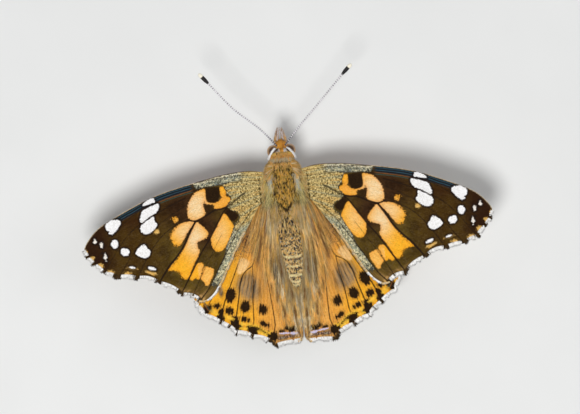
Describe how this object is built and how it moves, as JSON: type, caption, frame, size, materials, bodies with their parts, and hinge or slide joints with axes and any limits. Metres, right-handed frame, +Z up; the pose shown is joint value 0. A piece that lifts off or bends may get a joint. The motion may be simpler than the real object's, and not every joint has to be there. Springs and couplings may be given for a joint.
{
  "type": "painted lady butterfly model",
  "caption": "Life-size butterfly standing with its wings held open and its feelers raised.",
  "frame": {"origin": "middle of the bounding box on the floor that the feet stand on", "axes": "+X to the insect's right, across the wings; +Y towards its head; +Z up"},
  "size_m": [0.0634, 0.0434, 0.0109],
  "materials": {
    "wing_scales": "matt, powdery scales with a faint silky sheen",
    "body_hair": "soft, fine hair and scales",
    "eye": "smooth with a low gloss",
    "antenna_scales": "matt, dark rings on a pale shaft",
    "palp_scales": "matt, scaled and bristly",
    "leg_scales": "matt, finely scaled",
    "tongue": "satin horn"
  },
  "bodies": {
    "root": {"head": "body_hair", "thorax": "body_hair", "abdomen": "body_hair", "eye_left": "eye", "eye_right": "eye", "antenna_left": "antenna_scales", "antenna_right": "antenna_scales", "palp_left": "palp_scales", "palp_right": "palp_scales", "proboscis": "tongue", "foreleg_left": "leg_scales", "foreleg_right": "leg_scales", "midleg_left": "leg_scales", "midleg_right": "leg_scales", "hindleg_left": "leg_scales", "hindleg_right": "leg_scales", "forewing_left": "wing_scales", "forewing_right": "wing_scales", "hindwing_left": "wing_scales", "hindwing_right": "wing_scales"}
  },
  "joints": []
}
